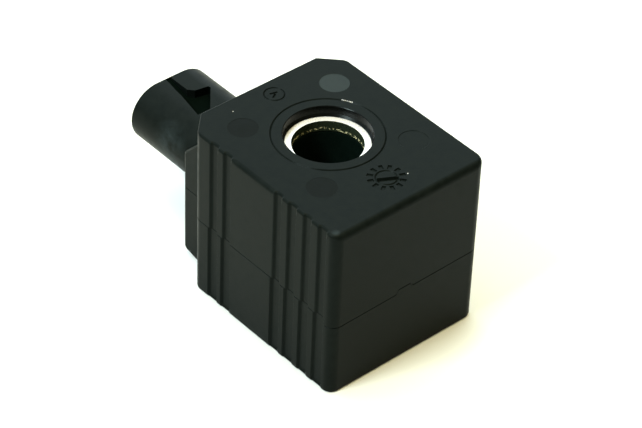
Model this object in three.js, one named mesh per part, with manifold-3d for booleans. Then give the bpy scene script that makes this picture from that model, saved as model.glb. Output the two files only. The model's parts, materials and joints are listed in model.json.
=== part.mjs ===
// Encapsulated coil of a cartridge solenoid valve: a ribbed plastic block moulded round a bobbin,
// its winding and a steel flux bracket, with a two-way oval connector shroud on one end.
// Millimetres, +Z up. The inner group is drawn in the bore frame: the coil's bore axis is
// x = y = 0, the underside is z = 0 and the connector points to -X. The outer group puts the
// origin under the middle of the whole part.
import * as THREE from 'three';
import { mergeVertices } from 'three/addons/utils/BufferGeometryUtils.js';
import Module from 'manifold-3d';

const wasm = await Module();
wasm.setup();

// ---- Driving dimensions ------------------------------------------------------------------

const GAP = 0.3;                  // clearance kept between neighbouring pieces
const SEAT_GAP = 0.1;             // clearance between the bracket's legs and the plastic lips

// Plastic block
const HEIGHT = 35.5;
const X_CONNECTOR = -18.3;        // face that carries the connector
const X_BACK = 22.4;              // plain face
const Y_NEAR = -17.65;
const Y_FAR = 16.85;
const CHAMFER = 4.0;              // corners beside the connector
const CORNER_R = 2.0;             // corners of the plain face
const VALLEY_DEPTH = 0.45;
const VALLEY_SLOPE = 0.25;        // run of a valley's slanting side
const VALLEYS = [[-10.8, -8.7], [-7.2, -5.1], [6.4, 8.4], [10.0, 12.2], [14.0, 16.0], [17.8, 20.0]];

// Bore
const TUBE_R = 6.45;              // hole in the steel, for a 12.7 mm guide tube
const LIP_R = 8.0;                // opening in the plastic
const LIP_DEPTH = 2.1;

// Boss on the connector face
const BOSS_X = -23.7;
const BOSS_HALF_WIDTH = 13.3;
const BOSS_FRONT_Z = [1.5, 23.5];
const BOSS_ROOT_Z = [0.3, 28.9];

// Connector shroud: a stadium section, long way across
const RIM_X = -44.6;
const SHROUD_Z = 15.63;
const SHROUD_R = 6.08;
const SHROUD_ARC_Y = 3.0;         // distance of each arc's centre from the middle
const SOCKET_R = 3.6;
const SOCKET_FLOOR_X = -31.0;
const LOCK_DEPTH = 1.8;           // depth of the groove and pocket beside the lock land
const LOCK_LAND = [               // plan of the land's edge, from the pocket to the groove's mouth
  [-32.2, -0.2], [-37.3, 4.0], [-37.8, 3.9], [-38.05, 2.2], [-38.3, 1.1], [-39.4, 0.1], [-44.3, 0.1],
];
const LOCK_GROOVE_SIDE = [        // plan of the groove's outer side, from its mouth to the pocket
  [-44.3, -1.3], [-40.6, -1.6], [-37.9, -1.9], [-34.9, -2.5], [-32.2, -3.0],
];

// Steel flux bracket
const STEEL = 2.2;
const LEG_END_X = -11.5;
const WEB_X = 19.2;
const BRACKET_HALF_WIDTH = 13.0;
const BEND_R = 2.6;

// Bobbin and winding
const FLANGE_R = 15.0;
const FLANGE = 1.5;
const SPOOL_R = 9.7;
const SPOOL_BORE_R = 6.6;
const BUSH_R = 8.2;
const BUSH_LENGTH = 7.1;
const LEAD_SLOT_X = -10.6;        // inner end of the slot that lets the start lead out of the flange
const LEAD_SLOT_HALF_WIDTH = 0.7;
const WINDING_R = 14.2;
const TAPE = 0.3;
const CAVITY_R = 15.5;

// Terminals, their carrier and the suppression diode
const BLADE_Y = 3.0;
const BLADE_WIDTH = 1.5;
const BLADE_THICKNESS = 0.8;
const BLADE_TIP_X = -41.0;
const BLADE_TAPER = 1.2;          // length of the thinned tip
const POST_X = -16.2;
const POST_TOP_Z = 20.0;
const CARRIER_X = [-27.0, -22.3];
const PLUG_END_X = -26.5;          // back end of the carrier's oval front
const CARRIER_HALF_WIDTH = 6.0;
const CARRIER_HALF_HEIGHT = 3.8;

// Chamber behind the carrier, and the taller space where the leads come down to the terminals
const CHAMBER_X = [-22.0, -13.0];
const CHAMBER_HALF_WIDTH = 6.6;
const CHAMBER_Z = [6.6, 20.2];
const LEAD_SPACE_Z = [19.0, 31.2];

// Suppression diode
const DIODE_X = -19.7;
const DIODE_Z = 8.6;
const DIODE_R = 1.2;
const DIODE_HALF_LENGTH = 2.0;
const DIODE_LEAD_R = 0.3;
const DIODE_LEAD_BEND = [0.25, 0.15, 0.9];  // start inside the blade, first rise, rise to the upright
const DIODE_JOINT_R = 0.65;
const DIODE_JOINT_LENGTH = 1.1;

// Winding leads and their joints
const WIRE_R = 0.3;
const JOINT_R = 0.9;
const START_LEAD_BEND = [0.5, 1.6];         // runs from the post at the bend and after it
const START_LEAD_DROP = [0.3, 1.6];         // matching drops below the slot
const START_LEAD_END_X = -11.2;
const FINISH_LEAD_UPRIGHT_Z = 25.0;
const FINISH_LEAD_TURN = [0.6, 26.4];       // run from the post and height, where the lead leans over
const FINISH_LEAD_END = [1.0, 0.4, 27.6];   // run, inward step and height of the lead's end
const SLEEVE_GAP = 0.25;
const SLEEVE_WALL = 0.25;
const SLEEVE_LIFT = 1.0;                    // sleeve's start above the lead's foot
const SLEEVE_TOP_Z = 27.6;

const ROUND = 64;                 // sides of a large circle
const SMALL = 12;                 // sides of a wire

// Derived heights
const LEG_TOP = HEIGHT - LIP_DEPTH;
const LEG_BOTTOM = LIP_DEPTH;
const SPOOL_TOP = LEG_TOP - STEEL - GAP;
const SPOOL_BOTTOM = LEG_BOTTOM + STEEL + GAP;
const LEAD_FOOT_Z = POST_TOP_Z + 2 * GAP + 2 * JOINT_R;
const DIODE_JOINT_TOP = SHROUD_Z - BLADE_THICKNESS / 2 - GAP;
const OVERLAP = 1.0;              // how far joined or cut shapes run into or past each other

// ---- Materials ---------------------------------------------------------------------------

function material(color, roughness, metalness) {
  return new THREE.MeshStandardMaterial({ color, roughness, metalness });
}

const blackPlastic = material(0x1d201e, 0.5, 0.0);
const platedSteel = material(0xd6d7d2, 0.28, 1.0);
const darkSteel = material(0x8c8b83, 0.4, 1.0);
const bobbinPlastic = material(0xb9b39d, 0.55, 0.0);
const copper = material(0xb5683a, 0.35, 1.0);
const amberTape = material(0xb98a3a, 0.5, 0.0);
const tinnedBrass = material(0xc9c6b8, 0.3, 1.0);
const carrierPlastic = material(0x2a2d2c, 0.5, 0.0);
const diodePlastic = material(0x141414, 0.35, 0.0);
const solder = material(0xb4b6b6, 0.35, 1.0);
const sleeving = material(0xd9d4c3, 0.6, 0.0);

// ---- Solids ------------------------------------------------------------------------------

function toSolid(geometry) {
  const bare = geometry.clone();
  bare.deleteAttribute('normal');
  bare.deleteAttribute('uv');
  const merged = mergeVertices(bare, 1e-4);
  return new wasm.Manifold(new wasm.Mesh({
    numProp: 3,
    vertProperties: new Float32Array(merged.attributes.position.array),
    triVerts: new Uint32Array(merged.index.array),
  }));
}

function toGeometry(solid) {
  const mesh = solid.getMesh();
  const geometry = new THREE.BufferGeometry();
  geometry.setAttribute('position', new THREE.BufferAttribute(new Float32Array(mesh.vertProperties), 3));
  geometry.setIndex(new THREE.BufferAttribute(new Uint32Array(mesh.triVerts), 1));
  geometry.computeVertexNormals();
  return geometry;
}

function piece(name, geometry, look) {
  const mesh = new THREE.Mesh(geometry, look);
  mesh.name = name;
  return mesh;
}

function box(x, y, z) {
  const geometry = new THREE.BoxGeometry(x[1] - x[0], y[1] - y[0], z[1] - z[0]);
  geometry.translate((x[0] + x[1]) / 2, (y[0] + y[1]) / 2, (z[0] + z[1]) / 2);
  return geometry;
}

// Upright cylinder round the point (x, y)
function post(radius, z, x = 0, y = 0, sides = ROUND) {
  const geometry = new THREE.CylinderGeometry(radius, radius, z[1] - z[0], sides);
  geometry.rotateX(Math.PI / 2);
  geometry.translate(x, y, (z[0] + z[1]) / 2);
  return geometry;
}

// Solid of revolution about the vertical through (x, y); the profile is [radius, height] pairs
function turned(profile, sides = ROUND, x = 0, y = 0) {
  const closed = [...profile, profile[0]].map(([radius, height]) => new THREE.Vector2(radius, height));
  const geometry = new THREE.LatheGeometry(closed, sides);
  geometry.rotateX(Math.PI / 2);
  geometry.translate(x, y, 0);
  return geometry;
}

function ring(inner, outer, z, sides = ROUND, x = 0, y = 0) {
  return turned([[inner, z[0]], [outer, z[0]], [outer, z[1]], [inner, z[1]]], sides, x, y);
}

// Prism of a plan outline between two heights
function standing(shape, z) {
  const geometry = new THREE.ExtrudeGeometry(shape, {
    depth: z[1] - z[0], bevelEnabled: false, curveSegments: 10,
  });
  geometry.translate(0, 0, z[0]);
  return geometry;
}

// Prism whose section is drawn as (y, z), running along X
function alongX(shape, x) {
  const geometry = new THREE.ExtrudeGeometry(shape, {
    depth: x[1] - x[0], bevelEnabled: false, curveSegments: 16,
  });
  geometry.applyMatrix4(new THREE.Matrix4().set(0, 0, 1, x[0], 1, 0, 0, 0, 0, 1, 0, 0, 0, 0, 0, 1));
  return geometry;
}

// Prism whose section is drawn as (x, z), running along Y and centred on y = 0
function alongY(shape, halfWidth) {
  const geometry = new THREE.ExtrudeGeometry(shape, {
    depth: 2 * halfWidth, bevelEnabled: false, curveSegments: 8,
  });
  geometry.rotateX(Math.PI / 2);
  geometry.translate(0, halfWidth, 0);
  return geometry;
}

// Round wire through a list of points
function wire(points, radius) {
  const path = new THREE.CatmullRomCurve3(points.map((p) => new THREE.Vector3(...p)), false, 'centripetal');
  const section = new THREE.Shape();
  section.absarc(0, 0, radius, 0, 2 * Math.PI, false);
  return new THREE.ExtrudeGeometry(section, { extrudePath: path, steps: 24, curveSegments: SMALL / 2 });
}

function polygon(points) {
  return new THREE.Shape(points.map(([a, b]) => new THREE.Vector2(a, b)));
}

// ---- Encapsulation -----------------------------------------------------------------------

// The ribbed near side of the block, from the connector end to the plain end
function ribbedSide() {
  const floor = Y_NEAR + VALLEY_DEPTH;
  const points = [[X_CONNECTOR + CHAMFER, Y_NEAR]];
  for (const [start, end] of VALLEYS) {
    points.push([start, Y_NEAR], [start + VALLEY_SLOPE, floor], [end - VALLEY_SLOPE, floor], [end, Y_NEAR]);
  }
  points.push([X_BACK - CORNER_R, Y_NEAR]);
  return points;
}

function blockOutline() {
  const shape = new THREE.Shape();
  shape.moveTo(X_CONNECTOR, Y_NEAR + CHAMFER);
  for (const [x, y] of ribbedSide()) shape.lineTo(x, y);
  shape.absarc(X_BACK - CORNER_R, Y_NEAR + CORNER_R, CORNER_R, -Math.PI / 2, 0, false);
  shape.absarc(X_BACK - CORNER_R, Y_FAR - CORNER_R, CORNER_R, 0, Math.PI / 2, false);
  shape.lineTo(X_CONNECTOR + CHAMFER, Y_FAR);
  shape.lineTo(X_CONNECTOR, Y_FAR - CHAMFER);
  return shape;
}

function stadium(radius) {
  const shape = new THREE.Shape();
  shape.absarc(SHROUD_ARC_Y, SHROUD_Z, radius, -Math.PI / 2, Math.PI / 2, false);
  shape.absarc(-SHROUD_ARC_Y, SHROUD_Z, radius, Math.PI / 2, 3 * Math.PI / 2, false);
  return shape;
}

function bossOutline() {
  const inside = X_CONNECTOR + OVERLAP;
  return polygon([
    [BOSS_X, BOSS_FRONT_Z[0]], [X_CONNECTOR, BOSS_ROOT_Z[0]], [inside, BOSS_ROOT_Z[0]],
    [inside, BOSS_ROOT_Z[1]], [X_CONNECTOR, BOSS_ROOT_Z[1]], [BOSS_X, BOSS_FRONT_Z[1]],
  ]);
}

function encapsulation() {
  const shroudTop = SHROUD_Z + SHROUD_R;
  const outside = toSolid(standing(blockOutline(), [0, HEIGHT]))
    .add(toSolid(alongY(bossOutline(), BOSS_HALF_WIDTH)))
    .add(toSolid(alongX(stadium(SHROUD_R), [RIM_X, X_CONNECTOR + OVERLAP])));
  const hollows = [
    post(LIP_R, [-OVERLAP, HEIGHT + OVERLAP]),
    post(CAVITY_R, [LEG_BOTTOM - SEAT_GAP, LEG_TOP + SEAT_GAP]),
    box([LEG_END_X - GAP, WEB_X + GAP], [-BRACKET_HALF_WIDTH - GAP, BRACKET_HALF_WIDTH + GAP],
      [LEG_BOTTOM - SEAT_GAP, LEG_TOP + SEAT_GAP]),
    alongX(stadium(SOCKET_R), [RIM_X - OVERLAP, PLUG_END_X + GAP]),
    box([CARRIER_X[0] - GAP - SEAT_GAP, CHAMBER_X[0] + SEAT_GAP],
      [-CARRIER_HALF_WIDTH - GAP, CARRIER_HALF_WIDTH + GAP],
      [SHROUD_Z - CARRIER_HALF_HEIGHT - GAP, SHROUD_Z + CARRIER_HALF_HEIGHT + GAP]),
    box(CHAMBER_X, [-CHAMBER_HALF_WIDTH, CHAMBER_HALF_WIDTH], CHAMBER_Z),
    box([POST_X - JOINT_R - GAP, CHAMBER_X[1]], [-CHAMBER_HALF_WIDTH, CHAMBER_HALF_WIDTH], LEAD_SPACE_Z),
    standing(polygon([...LOCK_LAND, ...LOCK_GROOVE_SIDE]), [shroudTop - LOCK_DEPTH, shroudTop + OVERLAP]),
  ];
  return hollows.reduce((solid, hollow) => solid.subtract(toSolid(hollow)), outside);
}

// ---- Magnetic circuit --------------------------------------------------------------------

// C section of the bent steel strip: two legs and the web behind the winding
function bracketOutline() {
  const outer = BEND_R;
  const inner = BEND_R - STEEL;
  const shape = new THREE.Shape();
  shape.moveTo(LEG_END_X, LEG_BOTTOM);
  shape.absarc(WEB_X - outer, LEG_BOTTOM + outer, outer, -Math.PI / 2, 0, false);
  shape.absarc(WEB_X - outer, LEG_TOP - outer, outer, 0, Math.PI / 2, false);
  shape.lineTo(LEG_END_X, LEG_TOP);
  shape.lineTo(LEG_END_X, LEG_TOP - STEEL);
  shape.absarc(WEB_X - outer, LEG_TOP - outer, inner, Math.PI / 2, 0, true);
  shape.absarc(WEB_X - outer, LEG_BOTTOM + outer, inner, 0, -Math.PI / 2, true);
  shape.lineTo(LEG_END_X, LEG_BOTTOM + STEEL);
  return shape;
}

function fluxBracket() {
  return toSolid(alongY(bracketOutline(), BRACKET_HALF_WIDTH))
    .subtract(toSolid(post(TUBE_R, [-OVERLAP, HEIGHT + OVERLAP])));
}

// ---- Bobbin ------------------------------------------------------------------------------

function bobbin() {
  const seat = BUSH_R + GAP;
  const seatDepth = BUSH_LENGTH + GAP;
  const spool = toSolid(turned([
    [SPOOL_BORE_R, SPOOL_BOTTOM + seatDepth], [seat, SPOOL_BOTTOM + seatDepth], [seat, SPOOL_BOTTOM],
    [FLANGE_R, SPOOL_BOTTOM], [FLANGE_R, SPOOL_BOTTOM + FLANGE], [SPOOL_R, SPOOL_BOTTOM + FLANGE],
    [SPOOL_R, SPOOL_TOP - FLANGE], [FLANGE_R, SPOOL_TOP - FLANGE], [FLANGE_R, SPOOL_TOP],
    [seat, SPOOL_TOP], [seat, SPOOL_TOP - seatDepth], [SPOOL_BORE_R, SPOOL_TOP - seatDepth],
  ]));
  const leadSlot = box([-FLANGE_R - OVERLAP, LEAD_SLOT_X],
    [-BLADE_Y - LEAD_SLOT_HALF_WIDTH, -BLADE_Y + LEAD_SLOT_HALF_WIDTH],
    [SPOOL_TOP - FLANGE - SEAT_GAP, SPOOL_TOP + OVERLAP]);
  return spool.subtract(toSolid(leadSlot));
}

// ---- Terminals ---------------------------------------------------------------------------

function terminalBlade(y) {
  const half = BLADE_THICKNESS / 2;
  const tip = BLADE_TIP_X + BLADE_TAPER;
  const section = polygon([
    [BLADE_TIP_X, SHROUD_Z - half / 3], [tip, SHROUD_Z - half], [POST_X + half, SHROUD_Z - half],
    [POST_X + half, POST_TOP_Z], [POST_X - half, POST_TOP_Z], [POST_X - half, SHROUD_Z + half],
    [tip, SHROUD_Z + half], [BLADE_TIP_X, SHROUD_Z + half / 3],
  ]);
  const geometry = alongY(section, BLADE_WIDTH / 2);
  geometry.translate(0, y, 0);
  return geometry;
}

function terminalCarrier() {
  const plug = toSolid(alongX(stadium(SOCKET_R - GAP), [SOCKET_FLOOR_X, PLUG_END_X]));
  const body = toSolid(box(CARRIER_X, [-CARRIER_HALF_WIDTH, CARRIER_HALF_WIDTH],
    [SHROUD_Z - CARRIER_HALF_HEIGHT, SHROUD_Z + CARRIER_HALF_HEIGHT]));
  const half = BLADE_THICKNESS / 2 + GAP;
  const side = BLADE_WIDTH / 2 + GAP;
  const slots = [-BLADE_Y, BLADE_Y].map((y) => box([SOCKET_FLOOR_X - OVERLAP, CARRIER_X[1] + OVERLAP],
    [y - side, y + side], [SHROUD_Z - half, SHROUD_Z + half]));
  return slots.reduce((solid, slot) => solid.subtract(toSolid(slot)), plug.add(body));
}

// ---- Diode, leads and joints -------------------------------------------------------------

function diodeBody() {
  const geometry = new THREE.CylinderGeometry(DIODE_R, DIODE_R, 2 * DIODE_HALF_LENGTH, 24);
  geometry.translate(DIODE_X, 0, DIODE_Z);
  return geometry;
}

function diodeLead(side) {
  const start = DIODE_HALF_LENGTH + GAP;
  const [inward, firstRise, rise] = DIODE_LEAD_BEND;
  const top = DIODE_JOINT_TOP - DIODE_JOINT_LENGTH - GAP;
  return wire([
    [DIODE_X, side * start, DIODE_Z], [DIODE_X, side * (BLADE_Y - inward), DIODE_Z + firstRise],
    [DIODE_X, side * BLADE_Y, DIODE_Z + rise], [DIODE_X, side * BLADE_Y, top],
  ], DIODE_LEAD_R);
}

function diodeJoint(side) {
  return post(DIODE_JOINT_R, [DIODE_JOINT_TOP - DIODE_JOINT_LENGTH, DIODE_JOINT_TOP],
    DIODE_X, side * BLADE_Y, 16);
}

function wireJoint(side) {
  const geometry = new THREE.SphereGeometry(JOINT_R, 16, 10);
  geometry.translate(POST_X, side * BLADE_Y, POST_TOP_Z + GAP + JOINT_R);
  return geometry;
}

function startLead() {
  const slotZ = SPOOL_TOP - FLANGE / 2;
  const [nearBend, afterBend] = START_LEAD_BEND;
  const [smallDrop, largeDrop] = START_LEAD_DROP;
  return wire([
    [POST_X, -BLADE_Y, LEAD_FOOT_Z], [POST_X, -BLADE_Y, slotZ - largeDrop],
    [POST_X + nearBend, -BLADE_Y, slotZ - smallDrop],
    [POST_X + afterBend, -BLADE_Y, slotZ], [START_LEAD_END_X, -BLADE_Y, slotZ],
  ], WIRE_R);
}

function finishLead() {
  const [turnRun, turnZ] = FINISH_LEAD_TURN;
  const [endRun, endStep, endZ] = FINISH_LEAD_END;
  return wire([
    [POST_X, BLADE_Y, LEAD_FOOT_Z], [POST_X, BLADE_Y, FINISH_LEAD_UPRIGHT_Z],
    [POST_X + turnRun, BLADE_Y, turnZ], [POST_X + endRun, BLADE_Y - endStep, endZ],
  ], WIRE_R);
}

function startLeadSleeve() {
  const inner = WIRE_R + SLEEVE_GAP;
  return ring(inner, inner + SLEEVE_WALL, [LEAD_FOOT_Z + SLEEVE_LIFT, SLEEVE_TOP_Z], 16, POST_X, -BLADE_Y);
}

// ---- Assembly ----------------------------------------------------------------------------

const coil = new THREE.Group();
coil.add(
  piece('encapsulation', toGeometry(encapsulation()), blackPlastic),
  piece('flux_bracket', toGeometry(fluxBracket()), platedSteel),
  piece('upper_flux_bush', ring(TUBE_R, BUSH_R, [SPOOL_TOP - BUSH_LENGTH, SPOOL_TOP]), darkSteel),
  piece('lower_flux_bush', ring(TUBE_R, BUSH_R, [SPOOL_BOTTOM, SPOOL_BOTTOM + BUSH_LENGTH]), darkSteel),
  piece('bobbin', toGeometry(bobbin()), bobbinPlastic),
  piece('winding', ring(SPOOL_R + GAP, WINDING_R,
    [SPOOL_BOTTOM + FLANGE + GAP, SPOOL_TOP - FLANGE - GAP]), copper),
  piece('winding_tape', ring(WINDING_R + GAP, WINDING_R + GAP + TAPE,
    [SPOOL_BOTTOM + FLANGE + GAP, SPOOL_TOP - FLANGE - GAP]), amberTape),
  piece('start_lead', startLead(), copper),
  piece('finish_lead', finishLead(), copper),
  piece('start_lead_sleeve', startLeadSleeve(), sleeving),
  piece('start_wire_joint', wireJoint(-1), solder),
  piece('finish_wire_joint', wireJoint(1), solder),
  piece('terminal_blade_a', terminalBlade(-BLADE_Y), tinnedBrass),
  piece('terminal_blade_b', terminalBlade(BLADE_Y), tinnedBrass),
  piece('terminal_carrier', toGeometry(terminalCarrier()), carrierPlastic),
  piece('diode_body', diodeBody(), diodePlastic),
  piece('diode_lead_a', diodeLead(-1), tinnedBrass),
  piece('diode_lead_b', diodeLead(1), tinnedBrass),
  piece('diode_joint_a', diodeJoint(-1), solder),
  piece('diode_joint_b', diodeJoint(1), solder),
);
coil.position.set(-(RIM_X + X_BACK) / 2, -(Y_NEAR + Y_FAR) / 2, 0);

const part = new THREE.Group();
part.add(coil);

export default part;
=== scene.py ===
"""Looks of the solenoid valve coil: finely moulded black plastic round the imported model's steel and copper."""
import json
import math

import bmesh
import bpy
from mathutils import Matrix, Quaternion, Vector


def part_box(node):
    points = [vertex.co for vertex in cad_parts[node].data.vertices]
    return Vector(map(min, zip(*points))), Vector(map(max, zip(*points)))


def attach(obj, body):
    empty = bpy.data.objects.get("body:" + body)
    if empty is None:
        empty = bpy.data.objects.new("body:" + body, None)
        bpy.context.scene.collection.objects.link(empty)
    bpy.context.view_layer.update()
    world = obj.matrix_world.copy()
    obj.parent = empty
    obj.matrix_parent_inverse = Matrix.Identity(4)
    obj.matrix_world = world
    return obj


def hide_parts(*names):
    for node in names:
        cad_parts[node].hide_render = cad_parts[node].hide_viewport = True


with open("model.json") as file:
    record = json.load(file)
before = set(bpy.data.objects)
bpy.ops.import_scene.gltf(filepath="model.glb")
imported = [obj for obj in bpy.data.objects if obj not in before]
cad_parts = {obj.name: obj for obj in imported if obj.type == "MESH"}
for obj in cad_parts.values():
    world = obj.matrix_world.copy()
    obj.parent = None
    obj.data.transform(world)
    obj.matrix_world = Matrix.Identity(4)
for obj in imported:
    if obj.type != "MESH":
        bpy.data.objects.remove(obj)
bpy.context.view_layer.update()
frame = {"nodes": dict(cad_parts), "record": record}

MM = 0.001
ROOT = "root"

# ---- Places taken from the frame, in millimetres --------------------------------------------

CAD_LOW = [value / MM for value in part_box("encapsulation")[0]]
CAD_HIGH = [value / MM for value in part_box("encapsulation")[1]]
BUSH_LOW, BUSH_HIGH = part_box("upper_flux_bush")
BORE_X = (BUSH_LOW[0] + BUSH_HIGH[0]) / 2 / MM
BORE_Y = (BUSH_LOW[1] + BUSH_HIGH[1]) / 2 / MM
BRACKET_LOW = [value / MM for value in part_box("flux_bracket")[0]]
BRACKET_HIGH = [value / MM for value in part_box("flux_bracket")[1]]

# The rest is drawn in the bore frame: x = y = 0 on the bore axis, z = 0 on the underside
HEIGHT = CAD_HIGH[2]
RIM_X = CAD_LOW[0] - BORE_X
X_BACK = CAD_HIGH[0] - BORE_X
Y_NEAR = CAD_LOW[1] - BORE_Y
Y_FAR = CAD_HIGH[1] - BORE_Y
LEG_TOP = BRACKET_HIGH[2]
LEG_BOTTOM = BRACKET_LOW[2]
STEEL_X = (BRACKET_LOW[0] - BORE_X, BRACKET_HIGH[0] - BORE_X)
STEEL_Y = (BRACKET_LOW[1] - BORE_Y, BRACKET_HIGH[1] - BORE_Y)

# Block
X_CONNECTOR = -18.3               # face that carries the connector
CHAMFER = 4.0
CHAMFER_EDGE_R = 0.5
CHAMFER_SIDE_R = 2.0
NEAR_CORNER_R = 1.9
FAR_CORNER_R = 2.2
TOP_FILLET = {"connector": 0.25, "side": 0.48, "panel": 0.8, "back": 1.2}
BOTTOM_FILLET = 0.45

# Valleys between the ribs: x of each valley's two sides, and their section at four levels of the block
VALLEYS = [(-10.8, -8.7), (-7.2, -5.1), (6.4, 8.4), (10.0, 12.2), (14.0, 16.0), (17.8, 20.0)]
PANEL_AFTER = 2                   # valleys before the wide panel
PANEL_X = (-4.2, 5.9)             # the panel's stretch that has a larger top fillet
VALLEY_DEPTH = {"foot": 0.15, "lower": 0.45, "upper": 0.45, "top": 0.45}
VALLEY_SLOPE = 0.36
RIB_R = {"foot": 0.5, "lower": 0.3, "upper": 0.45, "top": 0.5}
RIB_EDGE_R = {"foot": 0.5, "lower": 0.06, "upper": 0.06, "top": 0.5}    # rib edge towards the connector
VALLEY_SHIFT = {"foot": (-0.42, 0.1), "lower": (-0.42, 0.1), "upper": (0.0, 0.0), "top": (0.0, 0.0)}
FOOT_BLEND = 1.0                  # height over which the ribs' edges soften towards the foot
TOP_BLEND = 1.4                   # and towards the top

# Height of the mould's parting line on each side, with its jog on the plain face
PARTING_NEAR = 16.2
PARTING_FAR = 15.7
PARTING_BACK = 15.1
PARTING_JOG = 0.9
PARTING_RISE = 0.2                # the plain face's line is this much higher beside the jog than at its ends
JOG_Y = (-2.4, 0.4)
JOG_RAMP = 0.5
JOG_END = 0.2                     # height that the line keeps after the jog
PARTING_CONNECTOR = 15.63
PARTING_GROOVE = 0.1

# Boss and connector shroud
BOSS_X = -23.7
BOSS_HALF_WIDTH = 13.3
BOSS_FRONT_Z = (1.5, 23.5)
BOSS_ROOT_Z = (0.3, 28.9)
BOSS_CORNER_R = 0.8
BOSS_INNER_R = 0.1
OVERLAP = 1.5                     # how far the boss and the shroud run into the block

SHROUD_Z = PARTING_CONNECTOR
SHROUD_R = 6.08
SHROUD_ARC_Y = 3.0
SOCKET_R = 3.6
SOCKET_END_X = -26.2
RIM_FILLET = 0.3
LOCK_DEPTH = 1.8
LOCK_RISE = 1.5                   # the groove gets this much shallower towards the rim
LOCK_RISE_X = -38.0               # where it starts to
LOCK_SLOPE = 0.5                  # run of the groove's slanting outer side
LOCK_END_X = RIM_X + 0.3
LOCK_LAND = [                     # plan of the land's edge, from the pocket to the groove's mouth
    (-32.2, -0.2), (-37.3, 4.0), (-37.8, 3.9), (-38.05, 2.2), (-38.3, 1.1), (-39.4, 0.1), (LOCK_END_X, 0.1),
]
LOCK_GROOVE_SIDE = [              # plan of the groove's outer side, from its mouth to the pocket
    (LOCK_END_X, -1.3), (-40.6, -1.6), (-37.9, -1.9), (-34.9, -2.5), (-32.2, -3.0),
]

# Bore
LIP_R = 8.0
LIP_EDGE = 0.12                   # chamfer of the lip's mouth
LIP_FOOT = 0.4                    # slope where the lip meets the steel
CAVITY_R = 15.5
GAP = 0.3
SEAT_GAP = 0.1

# Spaces round the inserts behind the socket: x, y, z
CARRIER_SPACE = ((-27.4, -21.9), (-6.3, 6.3), (SHROUD_Z - 4.1, SHROUD_Z + 4.1))
DIODE_SPACE = ((-22.0, -13.0), (-6.6, 6.6), (6.6, 20.2))
LEAD_SPACE = ((-17.4, -13.0), (-6.6, 6.6), (19.0, 31.2))

GLINT_LINE_DEPTH = 1.75                 # depth below the ring of a painted glint line round the ragged rim inside its hole
GLINT_LINE_HALF_BAND = 0.2
GLINT_LINE_WANDER = 1.6                 # how far noise carries the painted glint line up and down

# Marks sunk in the top face; each ring is radius, half width, depth, and each stroke length, width
WITNESS_RING = (10.07, 0.2, 0.19)
DIAL = (15.3, -0.1)
DIAL_TURN = math.radians(8)
DIAL_RING = (1.9, 0.2, 0.18)
TICKS = 12
TICK_R = 2.9
TICK = (1.15, 0.75)
TICK_DEPTH = 0.22
POINTER_AT = (15.75, -0.15)
POINTER = (3.9, 1.0)
POINTER_TURN = math.radians(61)
POINTER_DEPTH = 0.5
CAVITY_MARK = (-14.6, 0.0)
CAVITY_RING = (1.85, 0.16, 0.17)
CAVITY_STROKES = [(-14.9, 0.1, 1.5, 75), (-14.2, -0.35, 1.3, 125)]     # x, y, length, angle in degrees
CAVITY_STROKE_WIDTH = 0.4
CAVITY_STROKE_DEPTH = 0.3
CLEAR = 0.5                       # how far a cutter stands out of the face that it cuts
PAD_R = 2.75
PADS = {(10.5, 10.5): 0.07, (10.5, -10.5): 0.02, (-10.5, 10.5): 0.06, (-10.5, -10.5): 0.03}
PAD_FINISH = {(10.5, -10.5): "pad_dull", (-10.5, 10.5): "pad_pale", (-10.5, -10.5): "pad_dull"}
POCKET_Y = (-3.2, 4.3)            # the stretch of the shroud that holds the lock pocket
FINISHES = ["black_plastic", "lip_gloss", "pocket_painted_shade", "pad_pale", "pad_dull"]

# Pale specks laid into the plastic's colour: dust on the top face, a painted glint on the near side's parting
# line, a pale speck near the near corner and a painted glint streak along the witness circle's rim: x, y, z,
# radius
DUST_AND_GLINT_COLOR = (0.6, 0.6, 0.58)
DUST_AND_GLINT_SPECKS = [
    (16.7, 3.5, HEIGHT, 0.11), (-15.2, -8.9, HEIGHT, 0.09),
    (6.75, Y_NEAR, 16.1, 0.13), (21.1, -17.4, 9.0, 0.1),
    # painted glint: a short bright streak along the witness circle's rim
    (-5.9, 8.3, HEIGHT, 0.12), (-5.65, 8.45, HEIGHT, 0.12), (-5.4, 8.6, HEIGHT, 0.12),
    (-5.1, 8.77, HEIGHT, 0.13), (-4.8, 8.95, HEIGHT, 0.12), (-4.55, 9.08, HEIGHT, 0.14),
    (-4.3, 9.22, HEIGHT, 0.13),
]
# A paler, blotchy patch on the shroud's side, and a painted highlight on the top near corner, where its rounded
# corner catches the key: place, radius, strength
PALE_PATCH_AND_HIGHLIGHT_COLOR = (0.045, 0.062, 0.066)
PALE_PATCH_AND_HIGHLIGHT = [((-33.5, -8.4, 16.5), 5.0, 0.62), ((20.9, -16.4, HEIGHT - 0.2), 0.9, 0.7)]

# Floor, light and camera, in metres
FLOOR_HALF = 1.5
BACKDROP = (-0.85, 0.2, 0.5)      # direction of the bright side of the room
BACKDROP_SPREAD = (0.25, 0.9)     # cosines where the bright side fades out and where it is full
ROOM_DIM = (0.28, 0.25, 0.16)
ROOM_BRIGHT = (2.0, 2.35, 2.45)
CAMERA_AT = (0.28899, -0.25254, 0.32875)
CAMERA_AIM = (0.01093, -0.00039, 0.01775)
CAMERA_ROLL = math.radians(2.354)
LENS_MM = 154.0
SENSOR_MM = 36

# Sockets of a colour mix node, which share their names with its other kinds
MIX_FACTOR, MIX_UNDER, MIX_OVER, MIX_RESULT = 0, 6, 7, 2
NOISE_RANGE = (0.3, 0.7)          # where most of a noise texture's values lie


# ---- Mesh helpers ---------------------------------------------------------------------------

def in_row(point):
    """A point of the bore frame, in millimetres, as a point of the row frame, in metres."""
    return Vector(((point[0] + BORE_X) * MM, (point[1] + BORE_Y) * MM, point[2] * MM))


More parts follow.
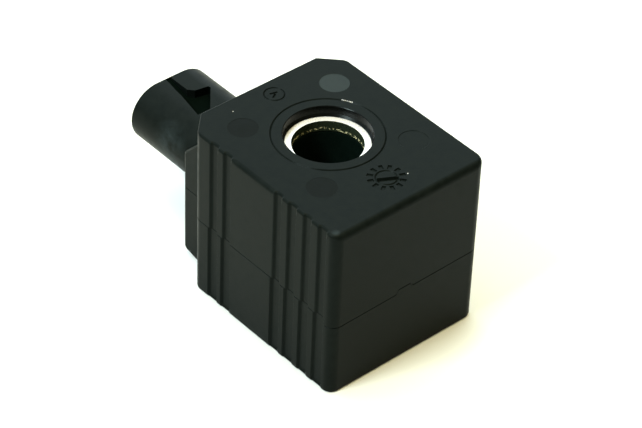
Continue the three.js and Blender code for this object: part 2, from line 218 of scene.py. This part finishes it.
def loft(name, rings):
    """A closed solid through rings of points that all have the same count; the two ends are capped."""
    mesh = bmesh.new()
    rows = [[mesh.verts.new(in_row(point)) for point in ring] for ring in rings]
    count = len(rows[0])
    for low, high in zip(rows, rows[1:]):
        for i in range(count):
            j = (i + 1) % count
            mesh.faces.new((low[i], low[j], high[j], high[i]))
    mesh.faces.new(list(reversed(rows[0])))
    mesh.faces.new(rows[-1])
    bmesh.ops.recalc_face_normals(mesh, faces=mesh.faces)
    return to_object(name, mesh)


def to_object(name, mesh):
    """The finished mesh as an object of the scene."""
    data = bpy.data.meshes.new(name)
    mesh.to_mesh(data)
    mesh.free()
    piece = bpy.data.objects.new(name, data)
    bpy.context.scene.collection.objects.link(piece)
    return piece


def turned(name, profile, centre=(0.0, 0.0), sides=96):
    """A solid of revolution about the vertical through centre; the profile starts and ends on the axis
    or closes on itself, and is a list of (radius, height)."""
    mesh = bmesh.new()
    on_axis = profile[0][0] == 0
    columns = []
    for i in range(sides):
        angle = 2 * math.pi * i / sides
        columns.append([
            mesh.verts.new(in_row((centre[0] + r * math.cos(angle), centre[1] + r * math.sin(angle), z)))
            for r, z in profile
        ])
    count = len(profile)
    spans = range(count - 1) if on_axis else range(count)
    for i in range(sides):
        here, there = columns[i], columns[(i + 1) % sides]
        for k in spans:
            n = (k + 1) % count
            mesh.faces.new((here[k], there[k], there[n], here[n]))
    bmesh.ops.remove_doubles(mesh, verts=mesh.verts, dist=1e-7)
    bmesh.ops.dissolve_degenerate(mesh, dist=1e-8, edges=mesh.edges)
    bmesh.ops.recalc_face_normals(mesh, faces=mesh.faces)
    return to_object(name, mesh)


def block(name, x, y, z):
    """A box from its low and high x, y and z."""
    rings = [[(x[0], y[0], h), (x[1], y[0], h), (x[1], y[1], h), (x[0], y[1], h)] for h in z]
    return loft(name, rings)


def combine(target, other, operation):
    """Joins other to target, or cuts it away, and deletes other."""
    step = target.modifiers.new(operation, "BOOLEAN")
    step.operation = operation
    step.object = other
    step.solver = "EXACT"
    bpy.context.view_layer.update()
    graph = bpy.context.evaluated_depsgraph_get()
    result = bpy.data.meshes.new_from_object(target.evaluated_get(graph))
    target.modifiers.clear()
    old = target.data
    target.data = result
    bpy.data.meshes.remove(old)
    bpy.data.objects.remove(other)


def smooth(piece, angle=32):
    """Rounded shading with crisp edges above the angle, and flats that stay flat beside fillets."""
    for face in piece.data.polygons:
        face.use_smooth = True
    piece.data.set_sharp_from_angle(angle=math.radians(angle))
    weighted = piece.modifiers.new("weighted", "WEIGHTED_NORMAL")
    weighted.keep_sharp = True
    weighted.weight = 100


# ---- Outlines -------------------------------------------------------------------------------

def corner(x, y, radius, edge, parting, steps=6):
    """A corner of an outline: its rounding, the fillet of the top edge there and the parting height."""
    edges = edge if isinstance(edge, tuple) else (edge, edge)
    return {"at": Vector((x, y)), "r": radius, "edges": edges, "parting": parting, "steps": steps}


def rounded(corners):
    """The outline's points, counter-clockwise, each with its outward normal, fillet and parting height."""
    points = []
    count = len(corners)
    for i, here in enumerate(corners):
        before = (corners[i - 1]["at"] - here["at"]).normalized()
        after = (corners[(i + 1) % count]["at"] - here["at"]).normalized()
        if here["r"] == 0:
            normal = Vector((after.y, -after.x))
            points.append({"at": here["at"], "normal": normal, "edge": here["edges"][0],
                           "parting": here["parting"]})
            continue
        half = before.angle(after) / 2
        centre = here["at"] + (before + after).normalized() * here["r"] / math.sin(half)
        start = here["at"] + before * here["r"] / math.tan(half) - centre
        end = here["at"] + after * here["r"] / math.tan(half) - centre
        convex = before.x * after.y - before.y * after.x < 0
        sweep = start.angle_signed(end)
        for k in range(here["steps"] + 1):
            t = k / here["steps"]
            arm = Matrix.Rotation(-sweep * t, 2) @ start
            normal = arm.normalized() if convex else -arm.normalized()
            edge = here["edges"][0] * (1 - t) + here["edges"][1] * t
            points.append({"at": centre + arm, "normal": normal, "edge": edge,
                           "parting": here["parting"]})
    return points


def ribbed_side(level):
    """The near side's valleys, from the connector end to the plain end, at one level of the block:
    the ribs are slimmer below the parting line and rounder at the top."""
    floor = Y_NEAR + VALLEY_DEPTH[level]
    left, right = VALLEY_SHIFT[level]
    round_r, edge_r = RIB_R[level], RIB_EDGE_R[level]
    corners = []
    for start, end in VALLEYS:
        for x, y, radius in (
            (start + left, Y_NEAR, round_r), (start + left + VALLEY_SLOPE, floor, round_r),
            (end + right - VALLEY_SLOPE, floor, edge_r), (end + right, Y_NEAR, edge_r),
        ):
            corners.append(corner(x, y, radius, TOP_FILLET["side"], PARTING_NEAR, 4))
    place = PANEL_AFTER * len(corners) // len(VALLEYS)
    corners[place:place] = [corner(x, Y_NEAR, 0, TOP_FILLET["panel"], PARTING_NEAR) for x in PANEL_X]
    return corners


def block_outline(level):
    """The block's outline at one level, counter-clockwise from the connector end's near chamfer."""
    connector, side, back = TOP_FILLET["connector"], TOP_FILLET["side"], TOP_FILLET["back"]
    jog = []
    for y, lift in (
        (JOG_Y[0] - JOG_RAMP, 0), (JOG_Y[0], PARTING_JOG),
        (JOG_Y[1], PARTING_JOG), (JOG_Y[1] + JOG_RAMP, JOG_END),
    ):
        jog.append(corner(X_BACK, y, 0, back, PARTING_BACK + lift + PARTING_RISE))
    return rounded([
        corner(X_CONNECTOR, Y_NEAR + CHAMFER, CHAMFER_EDGE_R, connector, PARTING_CONNECTOR),
        corner(X_CONNECTOR + CHAMFER, Y_NEAR, CHAMFER_SIDE_R, (connector, side), PARTING_NEAR),
        *ribbed_side(level),
        corner(X_BACK, Y_NEAR, NEAR_CORNER_R, (side, back), PARTING_BACK, 10),
        *jog,
        corner(X_BACK, Y_FAR, FAR_CORNER_R, (back, side), PARTING_FAR, 10),
        corner(X_CONNECTOR + CHAMFER, Y_FAR, CHAMFER_SIDE_R, (side, connector), PARTING_FAR),
        corner(X_CONNECTOR, Y_FAR - CHAMFER, CHAMFER_EDGE_R, connector, PARTING_CONNECTOR),
    ])


def stadium(radius, x, steps=24):
    """The shroud's oval section at x, as points."""
    points = []
    for centre, start in ((SHROUD_ARC_Y, -math.pi / 2), (-SHROUD_ARC_Y, math.pi / 2)):
        for k in range(steps + 1):
            angle = start + math.pi * k / steps
            points.append((x, centre + radius * math.cos(angle), SHROUD_Z + radius * math.sin(angle)))
    return points


# ---- Encapsulation --------------------------------------------------------------------------

def ring_of(outline, inset, height):
    """A ring of the outline; inset and height are numbers or functions of an outline point."""
    ring = []
    for point in outline:
        shift = inset(point) if callable(inset) else inset
        level = height(point) if callable(height) else height
        at = point["at"] - point["normal"] * shift
        ring.append((at.x, at.y, level))
    return ring


def moulded_block():
    """The block: a filleted foot, the parting line's fine groove and a filleted top edge."""
    foot, lower, upper, top = (block_outline(level) for level in ("foot", "lower", "upper", "top"))
    rings = []
    foot_steps, top_steps = 3, 6
    for k in range(foot_steps, -1, -1):
        angle = math.pi / 2 * k / foot_steps
        inset = BOTTOM_FILLET * (1 - math.cos(angle))
        rings.append(ring_of(foot, inset, BOTTOM_FILLET * (1 - math.sin(angle))))
    rings.append(ring_of(lower, 0.0, FOOT_BLEND))
    rings.append(ring_of(lower, 0.0, lambda p: p["parting"] - PARTING_GROOVE))
    rings.append(ring_of(lower, PARTING_GROOVE, lambda p: p["parting"]))
    rings.append(ring_of(upper, 0.0, lambda p: p["parting"] + PARTING_GROOVE))
    rings.append(ring_of(upper, 0.0, HEIGHT - TOP_BLEND))
    for k in range(top_steps + 1):
        angle = math.pi / 2 * k / top_steps
        rings.append(ring_of(
            top,
            lambda p: p["edge"] * (1 - math.cos(angle)),
            lambda p: HEIGHT - p["edge"] * (1 - math.sin(angle)),
        ))
    return loft("encapsulation_moulding", rings)


def boss():
    """The wedge under the shroud, lofted upwards; its front has small slopes at both ends."""
    inside = X_CONNECTOR + OVERLAP
    low, high = BOSS_FRONT_Z
    levels = [                        # height, front face's x, inset
        (BOSS_ROOT_Z[0], X_CONNECTOR, 0.0), (low - 0.15, BOSS_X + 0.35, 0.0), (low + 0.25, BOSS_X, 0.0),
        (PARTING_CONNECTOR - PARTING_GROOVE, BOSS_X, 0.0), (PARTING_CONNECTOR, BOSS_X, PARTING_GROOVE),
        (PARTING_CONNECTOR + PARTING_GROOVE, BOSS_X, 0.0),
        (high - 0.2, BOSS_X, 0.0), (high + 0.2, BOSS_X + 0.3, 0.0), (BOSS_ROOT_Z[1], X_CONNECTOR, 0.0),
    ]
    rings = []
    for z, front, inset in levels:
        front_r = min(BOSS_CORNER_R, (inside - front) / 3)
        outline = rounded([
            corner(front, -BOSS_HALF_WIDTH, front_r, 0, 0),
            corner(inside, -BOSS_HALF_WIDTH, BOSS_INNER_R, 0, 0),
            corner(inside, BOSS_HALF_WIDTH, BOSS_INNER_R, 0, 0),
            corner(front, BOSS_HALF_WIDTH, front_r, 0, 0),
        ])
        rings.append(ring_of(outline, inset, z))
    return loft("boss", rings)


def shroud():
    """The connector's oval body, with a filleted rim."""
    rings = []
    steps = 4
    for k in range(steps + 1):
        angle = math.pi / 2 * k / steps
        radius = SHROUD_R - RIM_FILLET * (1 - math.sin(angle))
        rings.append(stadium(radius, RIM_X + RIM_FILLET * (1 - math.cos(angle))))
    rings.append(stadium(SHROUD_R, X_CONNECTOR + OVERLAP))
    return loft("shroud", rings)


def socket():
    """The space inside the shroud, with a chamfered mouth."""
    return loft("socket", [
        stadium(SOCKET_R + RIM_FILLET, RIM_X - CLEAR), stadium(SOCKET_R + RIM_FILLET, RIM_X),
        stadium(SOCKET_R, RIM_X + RIM_FILLET), stadium(SOCKET_R, SOCKET_END_X),
    ])


def lock_recess():
    """The groove beside the lock land and the pocket behind it, with the groove's outer side sloping."""
    top = SHROUD_Z + SHROUD_R + CLEAR

    def floor(x):
        share = max(0, (LOCK_RISE_X - x) / (LOCK_RISE_X - RIM_X))
        return SHROUD_Z + SHROUD_R - LOCK_DEPTH + LOCK_RISE * share

    low = [(x, y, floor(x)) for x, y in LOCK_LAND]
    low += [(x, y + LOCK_SLOPE, floor(x)) for x, y in LOCK_GROOVE_SIDE]
    high = [(x, y, top) for x, y in LOCK_LAND]
    high += [(x, y - LOCK_SLOPE / 2, top) for x, y in LOCK_GROOVE_SIDE]
    return loft("lock_recess", [low, high])


def hollows():
    """The spaces that the inserts fill, and the bore and socket."""
    steel_z = (LEG_BOTTOM - SEAT_GAP, LEG_TOP + SEAT_GAP)
    mouth_r, foot_r = LIP_R + LIP_EDGE, LIP_R - LIP_FOOT
    yield turned("bore", [
        (0, -1), (mouth_r, -1), (mouth_r, 0), (LIP_R, LIP_EDGE),
        (LIP_R, steel_z[0] - LIP_FOOT), (foot_r, steel_z[0]),
        (foot_r, steel_z[1]), (LIP_R, steel_z[1] + LIP_FOOT),
        (LIP_R, HEIGHT - LIP_EDGE), (mouth_r, HEIGHT), (mouth_r, HEIGHT + 1), (0, HEIGHT + 1),
    ])
    yield turned("winding_space", [
        (0, steel_z[0]), (CAVITY_R, steel_z[0]), (CAVITY_R, steel_z[1]), (0, steel_z[1]),
    ])
    bracket_x, bracket_y = ((low - GAP, high + GAP) for low, high in (STEEL_X, STEEL_Y))
    yield block("bracket_space", bracket_x, bracket_y, steel_z)
    yield socket()
    yield block("carrier_space", *CARRIER_SPACE)
    yield block("diode_space", *DIODE_SPACE)
    yield block("lead_space", *LEAD_SPACE)
    yield lock_recess()


def sunk(name, centre, size, angle, depth):
    """A small engraved stroke with sloping sides."""
    slope = 0.4 * depth
    low = (size[0] - 2 * slope, size[1] - 2 * slope)
    rings = []
    cos, sin = math.cos(angle), math.sin(angle)
    for (length, width), z in ((low, HEIGHT - depth), (size, HEIGHT), (size, HEIGHT + CLEAR)):
        ring = []
        for u, v in ((-1, -1), (1, -1), (1, 1), (-1, 1)):
            a, b = u * length / 2, v * width / 2
            ring.append((centre[0] + a * cos - b * sin, centre[1] + a * sin + b * cos, z))
        rings.append(ring)
    return loft(name, rings)


def sunk_ring(name, centre, radius, half_width, depth, sides=64):
    """A fine engraved circle with sloping sides."""
    top = HEIGHT + CLEAR
    return turned(name, [
        (radius - half_width, HEIGHT), (radius, HEIGHT - depth), (radius + half_width, HEIGHT),
        (radius + half_width, top), (radius - half_width, top),
    ], centre, sides)


def top_marks():
    """Ejector pads, witness circle, date dial and cavity mark, all sunk a little into the top face."""
    top = HEIGHT + CLEAR
    for place, depth in PADS.items():
        floor = HEIGHT - depth
        profile = [(0, floor), (PAD_R - depth, floor), (PAD_R, HEIGHT), (PAD_R, top), (0, top)]
        yield turned("pad", profile, place, 48)
    yield sunk_ring("witness", (0, 0), *WITNESS_RING, 128)
    for i in range(TICKS):
        angle = 2 * math.pi * i / TICKS + DIAL_TURN
        middle = (DIAL[0] + TICK_R * math.cos(angle), DIAL[1] + TICK_R * math.sin(angle))
        yield sunk("tick", middle, TICK, angle, TICK_DEPTH)
    yield sunk_ring("dial_edge", DIAL, *DIAL_RING)
    yield sunk("pointer", POINTER_AT, POINTER, POINTER_TURN, POINTER_DEPTH)
    yield sunk_ring("cavity_ring", CAVITY_MARK, *CAVITY_RING)
    for x, y, length, angle in CAVITY_STROKES:
        size = (length, CAVITY_STROKE_WIDTH)
        yield sunk("cavity_stroke", (x, y), size, math.radians(angle), CAVITY_STROKE_DEPTH)


def within(corners, radius, centre=(0.0, 0.0)):
    """Whether all of a face's corners are inside a circle, seen from above."""
    return all(math.dist((x, y), centre) < radius for x, y, _ in corners)


def finish_faces(piece):
    """The lip round the bore is glossier than the rest, the lock pocket's floor is dull and dark with painted
    shade, and the ejector pads have finishes of their own."""
    piece.data.materials.clear()
    for name in FINISHES:
        piece.data.materials.append(MATERIALS[name])
    points = [(v.co.x / MM - BORE_X, v.co.y / MM - BORE_Y, v.co.z / MM) for v in piece.data.vertices]
    pocket_floor = SHROUD_Z + SHROUD_R - LOCK_DEPTH
    deepest_pad, shallowest_pad = max(PADS.values()), min(PADS.values())
    slack = 0.03                      # allowance for the cuts' rounding
    for face in piece.data.polygons:
        corners = [points[i] for i in face.vertices]
        low = min(z for _, _, z in corners)
        finish = "black_plastic"
        if low > LEG_TOP - SEAT_GAP and within(corners, LIP_R + LIP_EDGE + slack):
            finish = "lip_gloss"
        elif abs(low - pocket_floor) < slack and all(POCKET_Y[0] < y < POCKET_Y[1] for _, y, _ in corners):
            finish = "pocket_painted_shade"
        elif HEIGHT - deepest_pad - slack < low < HEIGHT - shallowest_pad / 2:
            for place, pad in PAD_FINISH.items():
                if within(corners, PAD_R + slack, place):
                    finish = pad
        face.material_index = FINISHES.index(finish)


def encapsulation():
    """The moulding as one skin: block, boss and shroud, less the hollows and the sunk marks."""
    piece = moulded_block()
    for addition in (boss(), shroud()):
        combine(piece, addition, "UNION")
    for hollow in hollows():
        combine(piece, hollow, "DIFFERENCE")
    for mark in top_marks():
        combine(piece, mark, "DIFFERENCE")
    finish_faces(piece)
    smooth(piece)
    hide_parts("encapsulation")
    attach(piece, ROOT)
    return piece


# ---- Materials ------------------------------------------------------------------------------

def new_material(name, color, metallic, roughness):
    """A Principled material; returns it with its node tree, shader and object coordinates."""
    material = bpy.data.materials.new(name)
    material.use_nodes = True
    tree = material.node_tree
    shader = tree.nodes["Principled BSDF"]
    shader.inputs["Base Color"].default_value = (*color, 1)
    shader.inputs["Metallic"].default_value = metallic
    shader.inputs["Roughness"].default_value = roughness
    coordinates = tree.nodes.new("ShaderNodeTexCoord")
    return material, tree, shader, coordinates.outputs["Object"]


def math_node(tree, operation, *values):
    """The result of a Math node whose values are sockets or numbers."""
    node = tree.nodes.new("ShaderNodeMath")
    node.operation = operation
    for socket_in, value in zip(node.inputs, values):
        if isinstance(value, (int, float)):
            socket_in.default_value = value
        else:
            tree.links.new(value, socket_in)
    return node.outputs["Value"]


def part_of(tree, vector, axis):
    node = tree.nodes.new("ShaderNodeSeparateXYZ")
    tree.links.new(vector, node.inputs["Vector"])
    return node.outputs[axis]


def map_range(tree, value, source, target=(0.0, 1.0)):
    """The value carried from one range to another, and kept inside it."""
    node = tree.nodes.new("ShaderNodeMapRange")
    node.inputs["From Min"].default_value, node.inputs["From Max"].default_value = source
    node.inputs["To Min"].default_value, node.inputs["To Max"].default_value = target
    tree.links.new(value, node.inputs["Value"])
    return node.outputs["Result"]


def noise(tree, vector, scale, detail=4.0):
    node = tree.nodes.new("ShaderNodeTexNoise")
    node.inputs["Scale"].default_value = scale
    node.inputs["Detail"].default_value = detail
    tree.links.new(vector, node.inputs["Vector"])
    return node.outputs["Fac"]


def remap(tree, value, low, high):
    """Noise spread over a range."""
    return map_range(tree, value, NOISE_RANGE, (low, high))


def laid_over(tree, factor, under, color):
    """The socket of a colour laid over another by a factor; under is a socket or a colour."""
    node = tree.nodes.new("ShaderNodeMix")
    node.data_type = "RGBA"
    node.inputs[MIX_OVER].default_value = (*color, 1)
    tree.links.new(factor, node.inputs[MIX_FACTOR])
    if isinstance(under, tuple):
        node.inputs[MIX_UNDER].default_value = (*under, 1)
    else:
        tree.links.new(under, node.inputs[MIX_UNDER])
    return node.outputs[MIX_RESULT]


def bump(tree, shader, height, distance, strength):
    """Fine relief from a height socket; distance is in metres."""
    node = tree.nodes.new("ShaderNodeBump")
    node.inputs["Distance"].default_value = distance
    node.inputs["Strength"].default_value = strength
    tree.links.new(height, node.inputs["Height"])
    tree.links.new(node.outputs["Normal"], shader.inputs["Normal"])


def grained(name, dark, light, metallic, roughness, scale, depth, strength=0.5):
    """A material whose colour, roughness and relief all vary with fine noise."""
    middle = tuple((a + b) / 2 for a, b in zip(dark, light))
    material, tree, shader, place = new_material(name, middle, metallic, sum(roughness) / 2)
    broad = noise(tree, place, scale / 6)
    fine = noise(tree, place, scale)
    tree.links.new(laid_over(tree, broad, dark, light), shader.inputs["Base Color"])
    tree.links.new(remap(tree, broad, *roughness), shader.inputs["Roughness"])
    bump(tree, shader, fine, depth, strength)
    return material, shader


def plastic(name, dark, light, roughness, ior):
    """Moulded plastic; a low IOR keeps the light that it mirrors as dim as the real, satin surface does."""
    material, shader = grained(name, dark, light, 0.0, roughness, 3500, 0.00003, 0.35)
    shader.inputs["IOR"].default_value = ior
    shader.inputs["Specular Tint"].default_value = (0.88, 1.0, 0.98, 1)
    return material


def distance_from(tree, place, point):
    """Distance from a point of the bore frame, in metres."""
    node = tree.nodes.new("ShaderNodeVectorMath")
    node.operation = "DISTANCE"
    node.inputs[1].default_value = in_row(point)
    tree.links.new(place, node.inputs[0])
    return node.outputs["Value"]


def black_plastic():
    """The moulding's satin plastic, with a paler patch on the shroud's side, a painted highlight on the top near
    corner, a few pale specks of dust and painted glints.
    """
    material = plastic("black_plastic", (0.0018, 0.0032, 0.0026), (0.0064, 0.0088, 0.0076), (0.3, 0.46), 1.125)
    tree = material.node_tree
    shader = tree.nodes["Principled BSDF"]
    place = next(node for node in tree.nodes if node.type == "TEX_COORD").outputs["Object"]
    color = shader.inputs["Base Color"].links[0].from_socket
    patches = remap(tree, noise(tree, place, 420, 3.0), 0.0, 1.0)
    # A paler blotchy patch on the shroud's side and a painted highlight on the top near corner, laid over the
    # plastic's colour
    for spot, radius, strength in PALE_PATCH_AND_HIGHLIGHT:
        pale_and_highlight = map_range(tree, distance_from(tree, place, spot), (0.0, radius * MM), (strength, 0.0))
        color = laid_over(tree, math_node(tree, "MULTIPLY", pale_and_highlight, patches), color, PALE_PATCH_AND_HIGHLIGHT_COLOR)
    # Dust specks and painted glints, laid over the plastic's colour
    for *spot, radius in DUST_AND_GLINT_SPECKS:
        near = math_node(tree, "LESS_THAN", distance_from(tree, place, spot), radius * MM)
        color = laid_over(tree, near, color, DUST_AND_GLINT_COLOR)
    tree.links.new(color, shader.inputs["Base Color"])
    return material


def plated_steel():
    """Bright zinc on the strip's flats. The punched hole's walls carry painted shade, a dark olive, and a
    painted glint line of pale gold runs round their ragged lower rim.
    """
    material, tree, shader, place = new_material("plated_steel", (0.9, 0.9, 0.88), 1.0, 0.3)
    geometry = tree.nodes.new("ShaderNodeNewGeometry")
    facing_up = part_of(tree, geometry.outputs["True Normal"], "Z")
    flat = math_node(tree, "COMPARE", facing_up, 1.0, 0.5)
    drift = math_node(tree, "MULTIPLY", noise(tree, place, 260, 2.0), GLINT_LINE_WANDER * MM)
    height = math_node(tree, "ADD", part_of(tree, place, "Z"), drift)
    glint_line_z = (LEG_TOP - GLINT_LINE_DEPTH + GLINT_LINE_WANDER / 2) * MM
    glint_band = math_node(tree, "COMPARE", height, glint_line_z, GLINT_LINE_HALF_BAND * MM)
    fine = noise(tree, place, 2600, 3.0)
    glint = math_node(tree, "MULTIPLY", glint_band, math_node(tree, "GREATER_THAN", fine, 0.53))
    # Painted shade on the hole's walls, which face sideways, and painted glints of pale gold in the band round
    # their lower rim
    hole = laid_over(tree, glint, (0.036, 0.05, 0.028), (0.95, 0.88, 0.5))
    color = laid_over(tree, flat, hole, (0.98, 0.98, 0.97))
    tree.links.new(color, shader.inputs["Base Color"])
    tree.links.new(map_range(tree, glint, (0.0, 1.0), (0.35, 0.0)), shader.inputs["Metallic"])
    tree.links.new(remap(tree, noise(tree, place, 900), 0.22, 0.38), shader.inputs["Roughness"])
    bump(tree, shader, fine, 0.00004, 0.4)
    return material


def plastics():
    """The moulding's finishes, and the pieces seen down the bore, where the steel's near-black is painted shade.
    """
    rows = [        # name, dark and light colour, roughness, IOR
        ("lip_gloss", (0.002, 0.0025, 0.0022), (0.003, 0.0035, 0.0032), (0.2, 0.3), 1.17),
        # the pocket floor's dull, dark look is painted shade in the recess
        ("pocket_painted_shade", (0.001, 0.0024, 0.0016), (0.0018, 0.0038, 0.0028), (0.6, 0.8), 1.03),
        ("pad_pale", (0.012, 0.017, 0.0175), (0.028, 0.037, 0.038), (0.5, 0.7), 1.18),
        ("pad_dull", (0.003, 0.0042, 0.0038), (0.0055, 0.0072, 0.0068), (0.5, 0.65), 1.125),
        # dark_steel: painted shade, the steel bushes coloured as dark as the shaded bore
        ("dark_steel", (0.0018, 0.005, 0.0035), (0.004, 0.0095, 0.0068), (0.45, 0.65), 1.12),
        ("bobbin_plastic", (0.0014, 0.0042, 0.003), (0.0026, 0.007, 0.0055), (0.45, 0.65), 1.1),
    ]
    return {row[0]: plastic(*row) for row in rows}


def inner_materials():
    """The materials of the pieces that the moulding hides."""
    rows = [        # name, dark and light colour, metallic, roughness, grain's scale and depth
        ("copper", (0.5, 0.16, 0.06), (0.62, 0.24, 0.1), 1.0, (0.25, 0.4), 4000, 0.00002),
        ("amber_tape", (0.4, 0.18, 0.03), (0.5, 0.25, 0.06), 0.0, (0.2, 0.35), 900, 0.00003),
        ("tinned_brass", (0.7, 0.69, 0.64), (0.8, 0.79, 0.74), 1.0, (0.2, 0.35), 3000, 0.00001),
        ("carrier_plastic", (0.01, 0.011, 0.011), (0.016, 0.017, 0.017), 0.0, (0.4, 0.55), 3500, 0.00003),
        ("diode_plastic", (0.008, 0.008, 0.008), (0.014, 0.014, 0.014), 0.0, (0.25, 0.4), 3000, 0.00002),
        ("solder", (0.55, 0.56, 0.57), (0.7, 0.7, 0.7), 1.0, (0.2, 0.45), 2000, 0.00005),
        ("sleeving", (0.5, 0.46, 0.36), (0.66, 0.62, 0.5), 0.0, (0.7, 0.9), 3000, 0.0001),
    ]
    return {row[0]: grained(*row)[0] for row in rows}


MATERIALS = {
    "black_plastic": black_plastic(),
    "plated_steel": plated_steel(),
    **plastics(),
    **inner_materials(),
}


def dress_nodes():
    """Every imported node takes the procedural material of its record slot."""
    for entry in frame["record"]["subparts"]:
        node = frame["nodes"][entry["node"]]
        node.data.materials.clear()
        node.data.materials.append(MATERIALS[entry["material_slot"]])
        for face in node.data.polygons:
            face.use_smooth = False


# ---- Floor, lights and camera ---------------------------------------------------------------

def floor():
    """The white sheet that the part stands on."""
    mesh = bmesh.new()
    signs = ((-1, -1), (1, -1), (1, 1), (-1, 1))
    mesh.faces.new([mesh.verts.new((x * FLOOR_HALF, y * FLOOR_HALF, 0)) for x, y in signs])
    piece = to_object("floor", mesh)
    material, _, shader, _ = new_material("floor", (0.86, 0.885, 0.85), 0.0, 0.8)
    piece.data.materials.append(material)


def area_light(name, direction, distance, size, power, color):
    """A square soft light that faces the object from a direction."""
    data = bpy.data.lights.new(name, "AREA")
    data.size = size
    data.energy = power
    data.color = color
    light = bpy.data.objects.new(name, data)
    away = Vector(direction).normalized()
    light.location = away * distance
    light.rotation_euler = away.to_track_quat("Z", "Y").to_euler()
    bpy.context.scene.collection.objects.link(light)


def lights():
    """A cool key from the near side and a warm light overhead, which tints the key's shadow."""
    area_light("key", (-0.07, -0.62, 0.78), 1.2, 0.3, 12.5, (0.83, 0.93, 0.95))
    area_light("overhead", (0.1, 0.1, 1.0), 1.4, 0.8, 12.5, (1.0, 0.82, 0.4))


def room():
    """World light that is bright behind the part and dim in front of it."""
    world = bpy.data.worlds.new("studio")
    world.use_nodes = True
    tree = world.node_tree
    place = tree.nodes.new("ShaderNodeTexCoord")
    facing = tree.nodes.new("ShaderNodeVectorMath")
    facing.operation = "DOT_PRODUCT"
    facing.inputs[1].default_value = Vector(BACKDROP).normalized()
    tree.links.new(place.outputs["Generated"], facing.inputs[0])
    spread = map_range(tree, facing.outputs["Value"], BACKDROP_SPREAD)
    spread.node.interpolation_type = "SMOOTHSTEP"
    color = laid_over(tree, spread, ROOM_DIM, ROOM_BRIGHT)
    tree.links.new(color, tree.nodes["Background"].inputs["Color"])
    bpy.context.scene.world = world


def camera():
    """A long lens high over the near ribbed corner, tilted a little clockwise."""
    data = bpy.data.cameras.new("camera")
    data.sensor_width = SENSOR_MM
    data.lens = LENS_MM
    data.clip_start = 0.01
    piece = bpy.data.objects.new("camera", data)
    aim = (Vector(CAMERA_AIM) - Vector(CAMERA_AT)).to_track_quat("-Z", "Y")
    roll = Quaternion((0, 0, 1), CAMERA_ROLL)
    piece.matrix_world = Matrix.Translation(CAMERA_AT) @ (aim @ roll).to_matrix().to_4x4()
    bpy.context.scene.collection.objects.link(piece)
    bpy.context.scene.camera = piece


# ---- Scene ----------------------------------------------------------------------------------

dress_nodes()
encapsulation()
floor()
lights()
room()
camera()
bpy.context.scene.view_settings.view_transform = "Standard"
